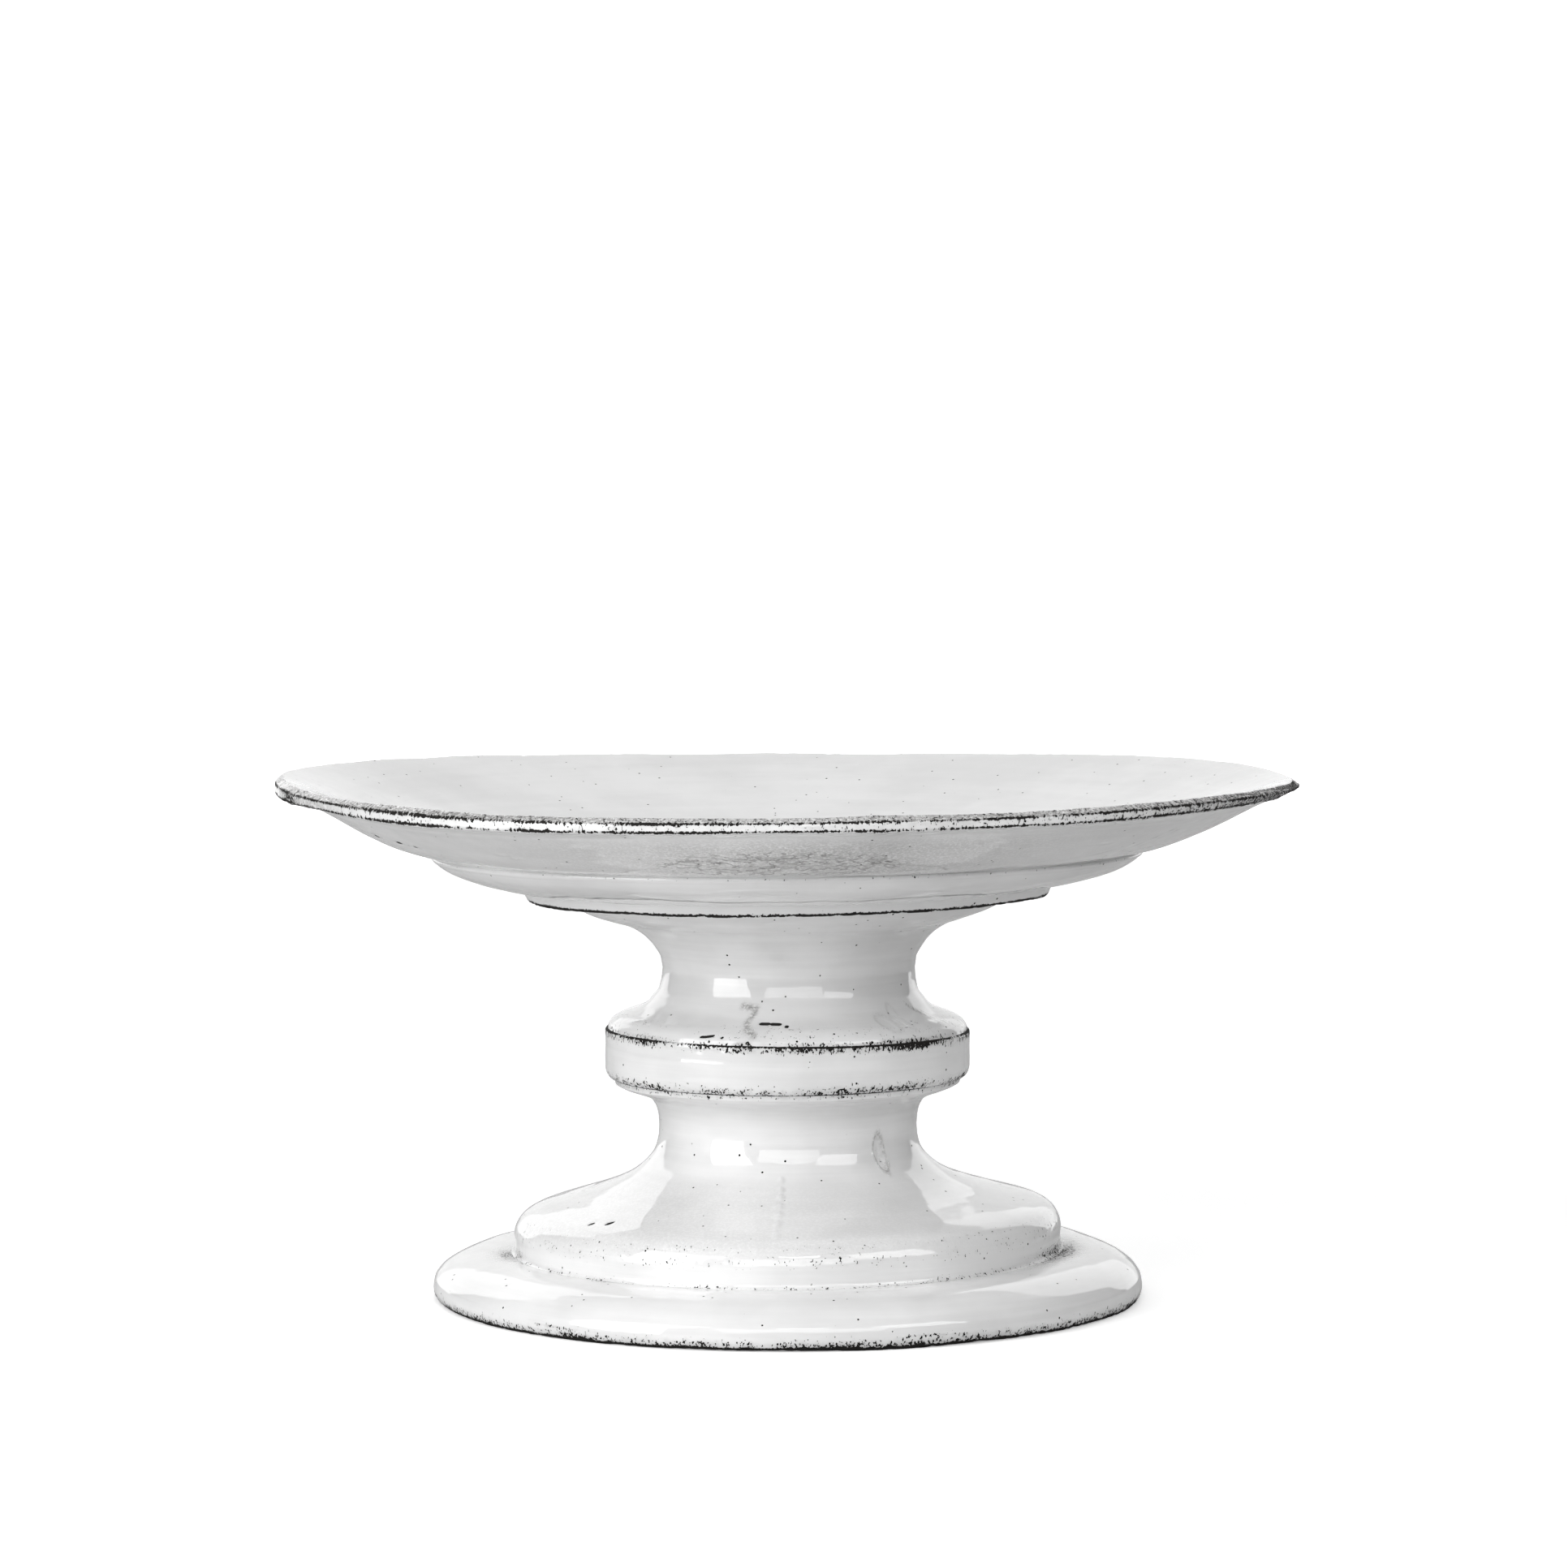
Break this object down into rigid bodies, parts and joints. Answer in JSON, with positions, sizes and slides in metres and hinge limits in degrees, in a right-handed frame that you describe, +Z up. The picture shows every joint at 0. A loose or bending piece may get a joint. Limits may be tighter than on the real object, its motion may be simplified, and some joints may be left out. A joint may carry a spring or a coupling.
{
  "type": "pedestal cake stand",
  "caption": "Round pedestal cake stand: a shallow dished plate with an upright lip, on a hollow waisted stem with a plain collar and a stepped, flared foot.",
  "frame": {"origin": "centre of the circle that the base stands on, on the table plane", "axes": "+Z up along the stand's axis, from the base to the plate; X and Y are level, and the stand is the same all round"},
  "size_m": [0.3, 0.3, 0.1515],
  "materials": {
    "white_glaze": "milky white gloss glaze over dark clay, worn through to the clay along the edges",
    "dried_slip": "matt dark slip"
  },
  "bodies": {
    "root": {"base_flange": "white_glaze", "lower_stem": "white_glaze", "collar": "white_glaze", "upper_stem": "white_glaze", "plate_foot_ring": "white_glaze", "plate": "white_glaze", "slip_joint_base_to_lower_stem": "dried_slip", "slip_joint_lower_stem_to_collar": "dried_slip", "slip_joint_collar_to_upper_stem": "dried_slip", "slip_joint_upper_stem_to_plate": "dried_slip", "slip_joint_foot_ring_to_plate": "dried_slip"}
  },
  "joints": []
}
